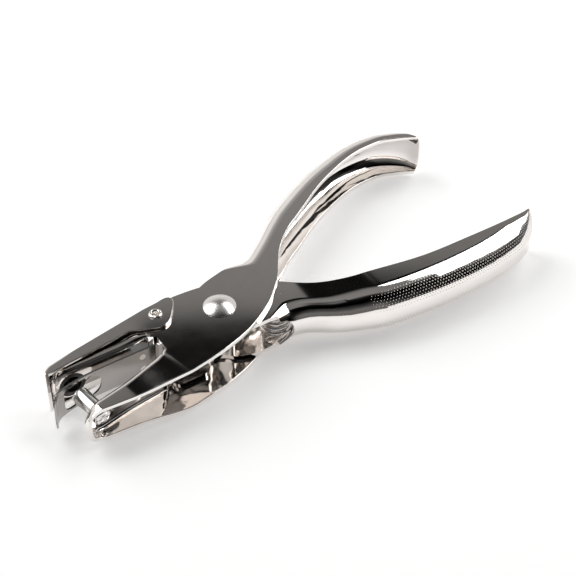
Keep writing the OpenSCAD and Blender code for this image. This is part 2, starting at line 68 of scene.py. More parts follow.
DIE_HOLE_D = PIN_D + 2 * DIE_FIT + 2 * DIE_WALL
STRIP_T, STRIP_H, SLOT_W = 0.6, 9.0, 2.4
STRIP_HOLE_H, STRIP_HOLE_L, HOLE_SHIFT = 7.6, 11.5, 1.3
STRIP_RIVET_D, STRIP_RIVET_GAP, STOP_L, STOP_SET = 1.8, 4.4, 4.6, 0.9
COVER_T, COVER_GAP, COVER_FLANGE, FLANGE_MORE = 0.8, 0.25, 3.0, 1.5
COVER_RIVET_X, COVER_RIVET_Y, COVER_RIVET_D, COVER_HEAD_D = 15.9, 7.0, 2.6, 3.8
SPRING_WIRE, SPRING_R, SPRING_TURNS, SPRING_PITCH = 1.0, 3.9, 3, 1.7
SPRING_AT, SPRING_REACH, LEG_GAP, PART_TURN = (14.4, -5.6), 22.0, 0.5, 0.93
Z_MID = RIVET_TAIL_H + AXIAL_FIT + CHEEK_H / 2
DIE_H = CHEEK_H - 2 * SHEET - 2 * CHEEK_GAP
HAND_START, WINDOW_R = 20.0, 4.2
WINDOW_X = HAND_X - 3
LUG_R, LUG_FRONT, LUG_REAR, LUG_Y = 2.2, THROAT_X - 4.2, 11.0, 7.4
PUNCH_JAW_EASE, DIE_JAW_EASE, DIE_HAND_FROM, DIE_HAND_EASE = 16, 8, 22, 20
ROUND_START, ROUND_EASE = (6, THROAT_X), (14, 4)
JAW_POINTS = 7  # of a lever's back line, ahead of its cheek's points

HAND_SHARE = [0, 0.1, 0.2, 0.3, 0.5, 0.7, 0.85, 0.93, 0.98, 1]
PUNCH_HAND_BACK = [-12.6, -16, -20, -23.3, -27.8, -29.5, -27.7, -24, -19, -14]
PUNCH_HAND_EDGE = [2.2, -5.2, -10, -13, -18.6, -21.4, -20.2, -17.6, -15, -13.6]
DIE_HAND_BACK = [-13, -17.6, -20.8, -22.9, -24.3, -24, -22.2, -19.6, -16.2, -13.4]
DIE_HAND_EDGE = [1, -5, -8.6, -10.3, -12.9, -13.4, -13.5, -13.4, -13.3, -13.1]
PUNCH_TIP_FALL = [0, 0, 0, 0, 0, 0, 0.8, 2.2, 2.6, 2.3]
PUNCH_TIP_OUT = [0, 0, 0, 0, 0, 0, 0, 0.3, 0.8, 1.1]
DIE_TIP_FALL = [0, 0, 0, 0, 0, 0, 0.8, 2, 2.2, 1.7]
DIE_TIP_OUT = [0] * 10

# ---------------------------------------------------------------- sizes of the scene alone, in mm
PUNCH_TIP_ROUND, DIE_TIP_ROUND, TIP_L = 2.6, 0.0, 8.0
FLANGE_EASE, INSIDE_R, GRIP_STRIP, GRIP_SHARE = 0.2, 0.12, 2.0, 0.55
LEVER_BEVEL, STRIP_BEVEL, STRIP_CORNER = 0.1, 0.07, 1.7
DOT_FROM_X, DOT_PITCH, DOT_ROW, DOT_END = 37, 0.95, 0.8, 0.8
DOT_R, DOT_TOP, DOT_SIDES = 0.23, 0.1, 8
DOT_RINGS = ((1.0, -0.1), (0.8, 0.05), (0.42, 0.088))
DOT_LOW, DOT_HIGH = math.radians(14), math.radians(64)
COVER_CORNER, COVER_EASE, PLAIN_SHARE = 1.4, 1.3, 0.18
FAR = 60


def ease(a, b, t):
    s = min(1.0, max(0.0, t))
    return a + (b - a) * s * s * (3 - 2 * s)


def curve_at(p, u):
    """Catmull-Rom curve through points, at parameter u in steps of one point."""
    n = len(p) - 1
    i = min(n - 1, int(math.floor(u)))
    t = u - i
    a, b, c, d = p[max(0, i - 1)], p[i], p[i + 1], p[min(n, i + 2)]
    return b + t / 2 * ((c - a) + t * ((2 * a - 5 * b + 4 * c - d) + t * (3 * b - a - 3 * c + d)))


def jaw_edge(x, nose_w, root_w):
    return root_w + (nose_w - root_w) * (x - THROAT_X) / (JAW_REACH - THROAT_X)


def lever_lines(nose_r, out, nose_w, root_w, cheek_back, cheek_edge,
                hand_back, hand_edge, tip_out, tip_fall):
    """The two plan lines of a lever: its back wall and its flange edges."""
    jr, tx, ty = JAW_REACH, THROAT_X, THROAT_Y
    arc = nose_r * (1 - math.cos(math.radians(45)))
    back = [(-jr - out, ty + 1.4 * nose_r), (-jr - out, ty + 0.84 * nose_r),
            (-jr - 0.8 * out + arc, ty + arc), (-jr + nose_r, ty),
            (-jr + 6, ty), (-(jr + tx) / 2, ty), (-tx - 3, ty)]
    edge = [(-jr + 1.7, ty + 1.44 * nose_r), (-jr + 2.2, ty + 1.46 * nose_r)]
    edge += [(-x, jaw_edge(x, nose_w, root_w) + ty / 2)
             for x in (jr - 3.2, jr - 4.4, jr - 7, (jr + tx) / 2, tx + 2)]
    back += cheek_back
    edge += cheek_edge
    for share, b, e, more, fall in zip(HAND_SHARE, hand_back, hand_edge, tip_out, tip_fall):
        x = HAND_START + share * (HANDLE_REACH - HAND_START) + more
        back.append((x, b))
        edge.append((x - fall, e))
    return np.array(back, float), np.array(edge, float)


PUNCH_CHEEK_BACK = [(-THROAT_X - 0.8, THROAT_Y), (-13.6, -4.2), (-5, -10), (4, -12), (12, -12)]
DIE_CHEEK_BACK = [(-THROAT_X - 0.8, THROAT_Y), (-THROAT_X + 0.1, THROAT_Y - 1.2), (-THROAT_X + 0.1, -5),
                  (-THROAT_X + 1, -11), (-16, -12.8), (-8, -12.8), (2, -12.6), (12, -12)]
PUNCH_LINES = lever_lines(
    PUNCH_NOSE_R, PUNCH_NOSE_OUT, PUNCH_NOSE_W, PUNCH_ROOT_W, PUNCH_CHEEK_BACK,
    [(-THROAT_X + 3.4, PUNCH_ROOT_W + THROAT_Y / 2), (-8, 13), (1, 11.8), (10.5, 8.4), (17, 4.4)],
    PUNCH_HAND_BACK, PUNCH_HAND_EDGE, PUNCH_TIP_OUT, PUNCH_TIP_FALL)
DIE_LINES = lever_lines(
    DIE_NOSE_R, 0, DIE_NOSE_W, DIE_ROOT_W, DIE_CHEEK_BACK,
    [(-THROAT_X + 1.4, DIE_ROOT_W + THROAT_Y / 2), (-18.6, 9.3), (-17, 9.8), (-15, 10.5),
     (-12, 11.3), (-7, 11.6), (2, 10.6), (12, 7.6)],
    DIE_HAND_BACK, DIE_HAND_EDGE, DIE_TIP_OUT, DIE_TIP_FALL)


def dome(x):
    return NOSE_FALL * (1 - ease(0, 1, (x + JAW_REACH) / DOME_L))


def punch_half(x):
    return ease(CHEEK_H, PUNCH_JAW_H, (-x - THROAT_X) / PUNCH_JAW_EASE) / 2 - dome(x)


def die_half(x):
    if x > 0:
        return ease(DIE_H, HANDLE_H, (x - DIE_HAND_FROM) / DIE_HAND_EASE) / 2
    return ease(DIE_H, DIE_JAW_H, (-x - THROAT_X) / DIE_JAW_EASE) / 2 - dome(x)


def lever_round(x, half):
    if x > 0:
        r = ease(CHEEK_ROUND, HANDLE_ROUND, (x - ROUND_START[0]) / ROUND_EASE[0])
    else:
        r = ease(CHEEK_ROUND, JAW_ROUND, (-x - ROUND_START[1]) / ROUND_EASE[1])
        r += ease(0, NOSE_ROUND - JAW_ROUND, (-x - JAW_REACH + NOSE_L) / NOSE_L)
    return min(r, half - ROUND_SPARE)


def tip_pull(x, end, rise, tip_round):
    """How far a handle's tip is drawn back at x, at a share of its half height."""
    return tip_round * np.maximum(0, (x - end + TIP_L) / TIP_L) ** 2 * rise ** 3


# ---------------------------------------------------------------- mesh helpers
def arc_points(cx, cy, r, start, end, n, ry=None):
    a = np.radians(np.linspace(start, end, n + 1))
    return np.stack([cx + r * np.cos(a), cy + (ry or r) * np.sin(a)], 1)


def run(p, q, n):
    """Points between p and q, with one close to either end that keeps the run flat when shaded."""
    p, q = np.array(p, float), np.array(q, float)
    hold = min(0.25, 0.06 / max(1e-6, float(np.linalg.norm(q - p))))
    t = np.concatenate([[hold], np.linspace(hold, 1 - hold, n + 2)[1:-1], [1 - hold]])
    return p + (q - p) * t[:, None]


def channel(w, half, rx, r):
    """One closed section of a lever's channel: back wall at 0, flange edges at w, corners eased."""
    t, e = SHEET, FLANGE_EASE
    ix, iz = max(INSIDE_R, rx - t), max(INSIDE_R, r - t)
    return np.concatenate([
        arc_points(w - e, half - e, e, 0, 90, 3),
        run((w - e, half), (rx, half), 4),
        arc_points(rx, half - r, rx, 90, 180, 14, r),
        run((0, half - r), (0, r - half), 3),
        arc_points(rx, r - half, rx, 180, 270, 14, r),
        run((rx, -half), (w - e, -half), 4),
        arc_points(w - e, e - half, e, 270, 360, 3),
        arc_points(w - e, t - half - e, e, 0, 90, 3),
        run((w - e, t - half), (t + ix, t - half), 4),
        arc_points(t + ix, t + iz - half, ix, 270, 180, 10, iz),
        run((t, t + iz - half), (t, half - t - iz), 3),
        arc_points(t + ix, half - t - iz, ix, 180, 90, 10, iz),
        run((t + ix, half - t), (w - e, half - t), 4),
        arc_points(w - e, half - t + e, e, -90, 0, 3),
    ])


def station(lines, half_at, u):
    """Back point, direction to the flange edge, flange depth, half height and corner radii at u.
    The handles keep a flat strip along their flange edges up to the tip."""
    b, e = curve_at(lines[0], u), curve_at(lines[1], u)
    w = float(np.linalg.norm(e - b))
    half = half_at(b[0])
    r = lever_round(b[0], half)
    rx = min(r, w - JAW_STRIP if b[0] < 0 else max(GRIP_SHARE * w, w - GRIP_STRIP))
    return b, (e - b) / w, w, half, rx, r


def lever_rings(lines, half_at, tip_round, steps=9):
    """Sections of a lever; its handle tip is rounded off above and below by tip_round."""
    spans = len(lines[0]) - 1
    end = lines[0][-1][0]
    rings = []
    for u in np.linspace(0, spans, spans * steps + 1):
        b, d, w, half, rx, r = station(lines, half_at, u)
        q = channel(w, half, rx, r)
        x = b[0] + d[0] * q[:, 0]
        lift = np.array([half_at(v) for v in x]) - half
        x = x - tip_pull(x, end, np.abs(q[:, 1]) / half, tip_round)
        rings.append(np.stack([x, b[1] + d[1] * q[:, 0], q[:, 1] + np.sign(q[:, 1]) * lift], 1))
    return np.array(rings)


def mesh_object(name, verts, faces):
    mesh = bpy.data.meshes.new(name)
    mesh.from_pydata([tuple(v) for v in verts], [], faces)
    mesh.update()
    obj = bpy.data.objects.new(name, mesh)
    bpy.context.scene.collection.objects.link(obj)
    bm = bmesh.new()
    bm.from_mesh(mesh)
    bmesh.ops.recalc_face_normals(bm, faces=bm.faces)
    bm.to_mesh(mesh)
    bm.free()
    return obj


def loft(name, rings, capped=True):
    """Closed mesh through rings of points, with a flat face at either end."""
    m, n = rings.shape[:2]
    faces = [(i * n + j, i * n + (j + 1) % n, (i + 1) * n + (j + 1) % n, (i + 1) * n + j)
             for i in range(m - 1) for j in range(n)]
    if capped:
        faces.append(tuple(range(n - 1, -1, -1)))
        faces.append(tuple((m - 1) * n + j for j in range(n)))
    return mesh_object(name, rings.reshape(-1, 3), faces)


def prism(name, outline, z0, z1):
    n = len(outline)
    verts = [(x, y, z0) for x, y in outline] + [(x, y, z1) for x, y in outline]
    faces = [tuple(range(n)), tuple(range(2 * n - 1, n - 1, -1))]
    faces += [(j, j + n, (j + 1) % n + n, (j + 1) % n) for j in range(n)]
    return mesh_object(name, verts, faces)


def rod(name, matrix, r, h, n=64):
    """A closed cylinder of radius r from 0 to h on its own Z axis, placed by a matrix."""
    obj = prism(name, list(map(tuple, arc_points(0, 0, r, 0, 360, n)[:-1])), 0, h)
    obj.data.transform(matrix)
    return obj


def turned(name, profile, n=72, wobble=None):
    """A closed body turned from a profile of (radius, height) points; both ends lie on the axis."""
    a = np.linspace(0, 2 * math.pi, n, endpoint=False)
    inner = profile[1:-1]
    verts = [(0, 0, profile[0][1])]
    for r, z in inner:
        for k in a:
            dr, dz = wobble(r, z, k) if wobble else (0, 0)
            verts.append(((r + dr) * math.cos(k), (r + dr) * math.sin(k), z + dz))
    verts.append((0, 0, profile[-1][1]))
    last = len(verts) - 1
    faces = [(0, 1 + j, 1 + (j + 1) % n) for j in range(n)]
    for i in range(len(inner) - 1):
        p, q = 1 + i * n, 1 + (i + 1) * n
        faces += [(p + j, q + j, q + (j + 1) % n, p + (j + 1) % n) for j in range(n)]
    p = 1 + (len(inner) - 1) * n
    faces += [(p + j, last, p + (j + 1) % n) for j in range(n)]
    return mesh_object(name, verts, faces)


def bake(obj):
    """Puts the object's modifiers into its mesh."""
    dg = bpy.context.evaluated_depsgraph_get()
    new = bpy.data.meshes.new_from_object(obj.evaluated_get(dg))
    obj.modifiers.clear()
    old = obj.data
    obj.data = new
    bpy.data.meshes.remove(old)


def cut(obj, cutters):
    """Takes each cutter out of the object and removes it."""
    for cutter in cutters:
        mod = obj.modifiers.new("cut", "BOOLEAN")
        mod.operation, mod.solver, mod.object = "DIFFERENCE", "EXACT", cutter
        bake(obj)
        old = cutter.data
        bpy.data.objects.remove(cutter)
        bpy.data.meshes.remove(old)


def sharp_edges(bm, angle):
    """The edges between two faces that meet at more than an angle in degrees."""
    return [e for e in bm.edges
            if len(e.link_faces) == 2 and e.calc_face_angle(0) > math.radians(angle)]


def finish_mesh(obj, bevel=0.0, smooth=32):
    """Eases the sharp edges and sets smooth shading."""
    bm = bmesh.new()
    bm.from_mesh(obj.data)
    bmesh.ops.remove_doubles(bm, verts=bm.verts, dist=0.004)
    bmesh.ops.dissolve_degenerate(bm, dist=0.004, edges=bm.edges)
    if bevel:
        bmesh.ops.bevel(bm, geom=sharp_edges(bm, 40), offset=bevel, segments=2, profile=0.5,
                        affect="EDGES", clamp_overlap=True)
    bmesh.ops.remove_doubles(bm, verts=bm.verts, dist=0.002)
    bm.to_mesh(obj.data)
    bm.free()
    for p in obj.data.polygons:
        p.use_smooth = True
    obj.data.set_sharp_from_angle(angle=math.radians(smooth))


def even_normals(obj):
    """Weights the shading by face area, so that big flat faces stay flat beside their eased edges."""
    mod = obj.modifiers.new("even", "WEIGHTED_NORMAL")
    mod.mode, mod.keep_sharp = "FACE_AREA", True
    bake(obj)


def ease_edges(obj, weight_of, width):
    """Rounds the sharp edges by a width times the weight of each."""
    bm = bmesh.new()
    bm.from_mesh(obj.data)
    bmesh.ops.remove_doubles(bm, verts=bm.verts, dist=0.06)
    bmesh.ops.dissolve_limit(bm, angle_limit=0.003, verts=bm.verts, edges=bm.edges)
    weights = bm.edges.layers.float.new("bevel_weight_edge")
    for e in sharp_edges(bm, 30):
        e[weights] = weight_of(e)
    bm.to_mesh(obj.data)
    bm.free()
    mod = obj.modifiers.new("ease", "BEVEL")
    mod.width, mod.segments, mod.limit_method = width, 6, "WEIGHT"
    mod.use_clamp_overlap = False
    bake(obj)
    finish_mesh(obj)


def add_mesh(obj, verts, faces):
    """Adds separate closed shells to a finished mesh."""
    part = bpy.data.meshes.new("part")
    part.from_pydata([tuple(v) for v in verts], [], faces)
    for p in part.polygons:
        p.use_smooth = True
    bm = bmesh.new()
    bm.from_mesh(obj.data)
    bm.from_mesh(part)
    bm.to_mesh(obj.data)
    bm.free()
    bpy.data.meshes.remove(part)


def in_metres(obj):
    obj.data.transform(Matrix.Scale(MM, 4))
    obj.data.update()


def spin(degrees, axis):
    return Matrix.Rotation(math.radians(degrees), 4, axis)


MOVE_UP = Matrix.Translation((0, 0, Z_MID))
PUNCH_PLACE = MOVE_UP @ spin(REST_OPEN, "Z") @ Matrix.Scale(-1, 4, (0, 1, 0))


def tilt_place(turn, x, y):
    """A frame with +Z along +Y of the tool, at x, y, turned about the pivot."""
    return spin(turn, "Z") @ Matrix.Translation((x, y, Z_MID)) @ spin(-90, "X")


def crossing(line):
    """Cutters for the window in a lever's back wall, in the lever's own plan."""
    outline = list(line) + [(WINDOW_X, -FAR), (-THROAT_X, -FAR)]
    a = prism("cut_a", outline, -FAR, FAR)
    turn = Matrix.Translation((WINDOW_X, 0, 0)) @ spin(90, "X")
    b = rod("cut_b", turn, WINDOW_R, 40, 96)
    return [a, b]


def smooth_line(points, steps=6):
    p = np.array(points, float)
    return [tuple(curve_at(p, u)) for u in np.linspace(0, len(p) - 1, (len(p) - 1) * steps + 1)]


def corner(cx, cy, r, start, end, n=10):
    return [tuple(q) for q in arc_points(cx, cy, r, start, end, n)]


# ---------------------------------------------------------------- the two levers
def dome_faces(n):
    """Faces of a small dome of three rings and a top point, its base closed."""
    faces = [(k + j, k + (j + 1) % n, k + n + (j + 1) % n, k + n + j) for k in (0, n) for j in range(n)]
    faces += [(2 * n + j, 2 * n + (j + 1) % n, 3 * n) for j in range(n)]
    return faces + [tuple(n - 1 - j for j in range(n))]


def grip_dots(lines, half_at, tip_round):
    """Small raised domes in staggered rows on the rounded shoulders of a handle, in the lever's plan.
    They start small and stop short of a rounded tip."""
    us = np.linspace(len(lines[0]) - len(HAND_SHARE), len(lines[0]) - 1, 1600)
    back = np.array([curve_at(lines[0], u) for u in us])
    way = np.concatenate([[0], np.cumsum(np.linalg.norm(np.diff(back, axis=0), axis=1))])
    start = np.interp(DOT_FROM_X, back[:, 0], way)
    count = int((way[-1] - DOT_END - 2.2 * tip_round - start) / (DOT_PITCH / 2))
    dome_mesh = dome_faces(DOT_SIDES)
    verts, faces = [], []
    for i in range(count):
        u = np.interp(start + i * DOT_PITCH / 2, way, us)
        b, d, _, half, rx, r = station(lines, half_at, u)
        flat = half - r
        size = DOT_R * min(1.0, 0.45 + 0.012 * i)
        rows = int((flat + r * DOT_HIGH) / DOT_ROW)
        for k in range(-rows, rows + 1):
            phi = (abs(k * DOT_ROW) - flat) / r
            if (k + i) % 2 or phi < DOT_LOW:
                continue
            side = 1 if k > 0 else -1
            z = side * (flat + r * math.sin(phi))
            q = rx - rx * math.cos(phi)
            out = Vector((-d[0] * math.cos(phi) * r, -d[1] * math.cos(phi) * r,
                          side * math.sin(phi) * rx)).normalized()
            at = Vector((b[0] + d[0] * q, b[1] + d[1] * q, z))
            at.z += side * (half_at(at.x) - half)
            at.x -= tip_pull(at.x, back[-1][0], abs(z) / half, tip_round)
            turn = out.to_track_quat("Z", "X").to_matrix()
            base = len(verts)
            for share, rise in DOT_RINGS:
                for j in range(DOT_SIDES):
                    a = 2 * math.pi / DOT_SIDES * j
                    p = Vector((size * share * math.cos(a), size * share * math.sin(a), rise))
                    verts.append(at + turn @ p)
            verts.append(at + turn @ Vector((0, 0, DOT_TOP)))
            faces += [tuple(base + v for v in f) for f in dome_mesh]
    return verts, faces


punch_cut = [(-THROAT_X, THROAT_Y + 0.6)] + smooth_line(
    [(-18.2, 2), (-16.6, 1.4), (-12.7, -2.2), (-9.2, -4.7), (-5, -7), (-1, -8.8), (4, -9.9),
     (WINDOW_X, -10.2)])
die_cut = ([(-THROAT_X, THROAT_Y + 1), (-LUG_FRONT - LUG_R, THROAT_Y - 0.4)]
           + corner(-LUG_FRONT, -LUG_Y, LUG_R, 180, 270) + corner(-LUG_REAR, -LUG_Y, LUG_R, 270, 320)
           + smooth_line([(-6.6, -5.6), (-4.6, -5.4), (-2.8, -6.2), (0.4, -8.8), (5.2, -10.2),
                          (WINDOW_X, -10.2)]))

PIN_TURN = math.radians(REST_OPEN - SQUEEZE)
PIN_ROOT = -(THROAT_Y + math.sin(PIN_TURN) * DIE_X) / math.cos(PIN_TURN)
PIN_END = THROAT_Y + SHEET + PIN_OVER

punch = loft("punch_lever_plate", lever_rings(PUNCH_LINES, punch_half, PUNCH_TIP_ROUND))
cut(punch, crossing(punch_cut))
punch.data.transform(PUNCH_PLACE)
punch.data.flip_normals()
cut(punch, [rod("hole", Matrix.Translation((0, 0, -5)), RIVET_D / 2 + RUN_FIT, 40),
            rod("hole", tilt_place(SQUEEZE, -DIE_X, PIN_ROOT - SHEET - 1),
                TENON_D / 2 + RUN_FIT, SHEET + 2)])

die = loft("die_lever_plate", lever_rings(DIE_LINES, die_half, DIE_TIP_ROUND))
cut(die, crossing(die_cut))
die.data.transform(MOVE_UP)
cut(die, [rod("hole", Matrix.Translation((0, 0, -5)), RIVET_D / 2 + RUN_FIT, 40),
          rod("hole", Matrix.Translation((-COVER_RIVET_X, COVER_RIVET_Y, -5)),
              COVER_RIVET_D / 2 + RUN_FIT, 40),
          rod("hole", tilt_place(0, -DIE_X, THROAT_Y - 1), DIE_HOLE_D / 2, SHEET + 2)])

for obj, lines, half_at, tip_round, place in (
        (punch, PUNCH_LINES, punch_half, PUNCH_TIP_ROUND, PUNCH_PLACE),
        (die, DIE_LINES, die_half, DIE_TIP_ROUND, MOVE_UP)):
    finish_mesh(obj, bevel=LEVER_BEVEL)
    verts, faces = grip_dots(lines, half_at, tip_round)
    verts = [place @ v for v in verts]
    if place is PUNCH_PLACE:
        faces = [tuple(reversed(f)) for f in faces]
    add_mesh(obj, verts, faces)
    in_metres(obj)


# ---------------------------------------------------------------- turned pieces
TOP = Z_MID + CHEEK_H / 2 + AXIAL_FIT


def rivet_profile():
    """Domed head over a thin rim, shank, flat tail with eased edges."""
    r, h, rim = RIVET_HEAD_D / 2, RIVET_DOME_H, 0.22
    big = ((r - 0.1) ** 2 + (h - rim) ** 2) / (2 * (h - rim))
    reach = math.asin((r - 0.1) / big)
    head = [(big * math.sin(a), TOP + h - big + big * math.cos(a)) for a in np.linspace(0, reach, 20)]
    head += [(r - 0.02, TOP + rim - 0.06), (r, TOP + rim - 0.14),
             (r - 0.03, TOP + 0.04), (r - 0.08, TOP)]
    s = RIVET_D / 2
    tail = [(s + 0.15, TOP), (s, TOP - 0.05), (s, RIVET_TAIL_H + 0.05), (s + 0.15, RIVET_TAIL_H),
            (r - 0.12, RIVET_TAIL_H), (r, RIVET_TAIL_H - 0.12), (r, 0.35), (r - 0.1, 0.14),
            (r - 0.35, 0.0), (r - 0.6, 0.0), (1.2, 0.0), (0, 0.0)]
    return head + tail


rivet = turned("pivot_rivet_domed", rivet_profile(), 96)
finish_mesh(rivet, smooth=38)

PIN_H = PIN_END - PIN_ROOT - PIN_SEAT
FOOT = -SHEET - 2 * PIN_SEAT


def peen_wobble(r, z, a):
    """Hammered unevenness of the peened end."""
    if z > FOOT - 0.05:
        return 0.0, 0.0
    deep = 0.5 + 0.5 * math.sin(3 * a + 0.6) * math.cos(2 * a - 1.1)
    mid = min(1.0, r / 2.4)
    dr = 0.12 * math.sin(5 * a + 1.3) * mid
    return dr, 0.34 * deep * mid * (1.35 - mid) + 0.05 * math.sin(7 * a) * mid


s, t, peen = PIN_D / 2, TENON_D / 2, PEEN_D / 2
pin_profile = [
    (0, PIN_H - 0.3), (1.0, PIN_H - 0.28), (s - 0.5, PIN_H - 0.12), (s - 0.22, PIN_H),
    (s - 0.1, PIN_H), (s - 0.02, PIN_H - 0.05), (s, PIN_H - 0.14), (s, PIN_H - 0.3),
    (s, PIN_H / 2), (s, 0.4), (s, 0.16), (s - 0.03, 0.05), (s - 0.14, 0), (t + 0.1, 0),
    (t, -0.06), (t, FOOT + 0.06), (t + 0.08, FOOT), (peen - 0.1, FOOT - 0.02),
    (peen + 0.02, FOOT - 0.14), (peen - 0.06, FOOT - 0.36), (peen - 0.4, FOOT - 0.66),
    (peen - 0.8, FOOT - 0.82), (1.15, FOOT - 0.86), (0.7, FOOT - 0.78), (0.35, FOOT - 0.7),
    (0, FOOT - 0.68)]
pin = turned("punch_pin_turned", pin_profile, 72, peen_wobble)
finish_mesh(pin, smooth=40)
pin.data.transform(tilt_place(SQUEEZE, -DIE_X, PIN_ROOT + PIN_SEAT))

s, t = PIN_D / 2 + DIE_FIT, DIE_HOLE_D / 2 - RUN_FIT
bush_section = [
    (s + 0.05, 0.0), (s + 0.12, 0), (t - 0.3, 0), (t - 0.2, 0.02), (t, 0.2), (t, 0.4),
    (t, DIE_LEN - 0.2), (t - 0.2, DIE_LEN), (t - 0.3, DIE_LEN), (s + 0.4, DIE_LEN),
    (s + 0.3, DIE_LEN - 0.1), (s, 0.9), (s, 0.1)]
bush = loft("die_bush_ground", np.array(
    [[(r * math.cos(a), r * math.sin(a), z) for r, z in bush_section]
     for a in np.linspace(0, 2 * math.pi, 73)]), capped=False)
finish_mesh(bush, smooth=40)
bush.data.transform(tilt_place(0, -DIE_X, THROAT_Y))

COVER_HALF = DIE_H / 2 + COVER_GAP / 2
RIM = COVER_HALF + COVER_T + AXIAL_FIT


def eyelet_split(r, z, a):
    """The rolled lip opens in shallow radial splits."""
    if abs(z) < RIM + 0.1 or r < 0.5:
        return 0.0, 0.0
    gap = max(0.0, math.cos(3 * a + 0.5)) ** 24
    return 0.0, -math.copysign(0.22 * gap, z)


h, s = COVER_HEAD_D / 2, COVER_RIVET_D / 2
eyelet_profile = [
    (0, RIM - 1.9), (0.3, RIM - 1.88), (0.52, RIM - 1.7), (0.66, RIM - 1.0), (0.78, RIM - 0.2),
    (0.9, RIM + 0.2), (1.06, RIM + 0.4), (1.28, RIM + 0.49), (1.5, RIM + 0.47),
    (1.72, RIM + 0.36), (1.86, RIM + 0.18), (h, RIM + 0.04), (h - 0.04, RIM), (s + 0.1, RIM),
    (s, RIM - 0.08), (s, 0.08 - RIM), (s + 0.1, -RIM), (h - 0.04, -RIM), (h, -RIM - 0.08),
    (1.8, -RIM - 0.3), (1.5, -RIM - 0.46), (1.1, -RIM - 0.49), (0.7, -RIM - 0.4),
    (0.4, -RIM - 0.3), (0, -RIM - 0.26)]
eyelet = turned("cover_rivet_rolled", eyelet_profile, 72, eyelet_split)
finish_mesh(eyelet, smooth=42)
eyelet.data.transform(Matrix.Translation((-COVER_RIVET_X, COVER_RIVET_Y, Z_MID)))


# ---------------------------------------------------------------- stripper
STRIP_Y = THROAT_Y - SLOT_W - STRIP_T / 2
STRIP_REAR, STRIP_FLAT = THROAT_X - 0.4, JAW_REACH - 12
MOUTH_R, MOUTH_TURN, CURL_R, CURL_TURN, LIP_R, LIP_TURN = 40, 17, 2.4, 62, 5.0, 75


def strip_line():
    """Plan of the stripper from the tip of its lip to its curled rear edge."""
    def mouth(a):
        a = math.radians(a)
        return np.array([-STRIP_FLAT - MOUTH_R * math.sin(a),
                         STRIP_Y - MOUTH_R * (1 - math.cos(a))])

    start = math.radians(MOUTH_TURN)
    lip = [mouth(MOUTH_TURN)
           + LIP_R * np.array([math.sin(start) - math.sin(a), math.cos(a) - math.cos(start)])
           for a in np.radians(np.linspace(MOUTH_TURN, LIP_TURN, 19))[1:]]
    line = lip[::-1] + [mouth(a) for a in np.linspace(MOUTH_TURN, 0, 14)]
    line += [np.array([-x, STRIP_Y]) for x in np.linspace(STRIP_FLAT, STRIP_REAR, 6)[1:]]
    for a in np.radians(np.linspace(0, CURL_TURN, 11)[1:]):
        line.append(np.array([-STRIP_REAR + CURL_R * math.sin(a),
                              STRIP_Y - CURL_R * (1 - math.cos(a))]))
    return np.array(line), mouth(MOUTH_TURN)[1], lip[-1][1]


def band(line, t):
    """Outline of a sheet of thickness t that follows a line."""
    way = np.gradient(line, axis=0)
    side = np.stack([-way[:, 1], way[:, 0]], 1) / np.linalg.norm(way, axis=1)[:, None]
    return [tuple(p) for p in np.concatenate([line + t / 2 * side, (line - t / 2 * side)[::-1]])]


line, lip_y, lip_end = strip_line()
strip = prism("stripper_sheet", band(line, STRIP_T), Z_MID - STRIP_H / 2, Z_MID + STRIP_H / 2)
hole_x, ends, r = DIE_X - HOLE_SHIFT, (STRIP_HOLE_L - STRIP_HOLE_H) / 2, STRIP_HOLE_H / 2
front, c = ends + r - STRIP_CORNER, r - STRIP_CORNER
stadium = prism("cut_c", corner(ends, 0, r, -90, 90, 24)
                + corner(-front, c, STRIP_CORNER, 90, 180, 8)
                + corner(-front, -c, STRIP_CORNER, 180, 270, 8), -10, 10)
stadium.data.transform(Matrix.Translation((-hole_x, 0, Z_MID)) @ spin(90, "X"))
root, foot = lip_y - 0.65, 0.4 - STRIP_H / 2
fang = prism("cut_d", [(root, STRIP_H)] + smooth_line(
    [(root, STRIP_H / 2 - 0.4), (root - 0.8, 2.3), (root - 1.6, 0), (root - 2.3, -2),
     (lip_end - 0.3, foot)], 5) + [(-40, foot), (-40, STRIP_H)], -10, 10)
fang.data.transform(Matrix.Translation((-JAW_REACH, 0, Z_MID)) @ spin(90, "Z") @ spin(90, "X"))
rivet_x = THROAT_X + STOP_SET + STOP_L / 2
drill = [rod("hole", Matrix.Translation((-rivet_x, 5, Z_MID + z)) @ spin(90, "X"),
             STRIP_RIVET_D / 2, 12, 40) for z in (-STRIP_RIVET_GAP / 2, STRIP_RIVET_GAP / 2)]
cut(strip, [stadium, fang] + drill)
finish_mesh(strip, bevel=STRIP_BEVEL)


# ---------------------------------------------------------------- chip cover
COVER_OUT = 1.8 * COVER_GAP + COVER_T
COVER_NOSE, NOSE_TURN, NOSE_END, WALL_END = JAW_REACH + COVER_OUT, 3.0, 2.2, THROAT_X - 2.6


def cover_wall(x):
    """Where the outside of the cover's wall stands over the jaw's flange edges at x."""
    return jaw_edge(x, DIE_NOSE_W, DIE_ROOT_W) + THROAT_Y / 2 + COVER_OUT


def cover_line(inset):
    """Plan of the cover's nose and wall, set in from its outside."""
    x, r = COVER_NOSE - inset, NOSE_TURN - inset
    cx, cy = -COVER_NOSE + NOSE_TURN, cover_wall(COVER_NOSE - NOSE_TURN) - NOSE_TURN
    line = [(-x, NOSE_END)]
    line += [(cx - r * math.cos(a), cy + r * math.sin(a)) for a in np.radians(np.linspace(0, 80, 9))]
    return line + [(-WALL_END, cover_wall(WALL_END) - inset)]


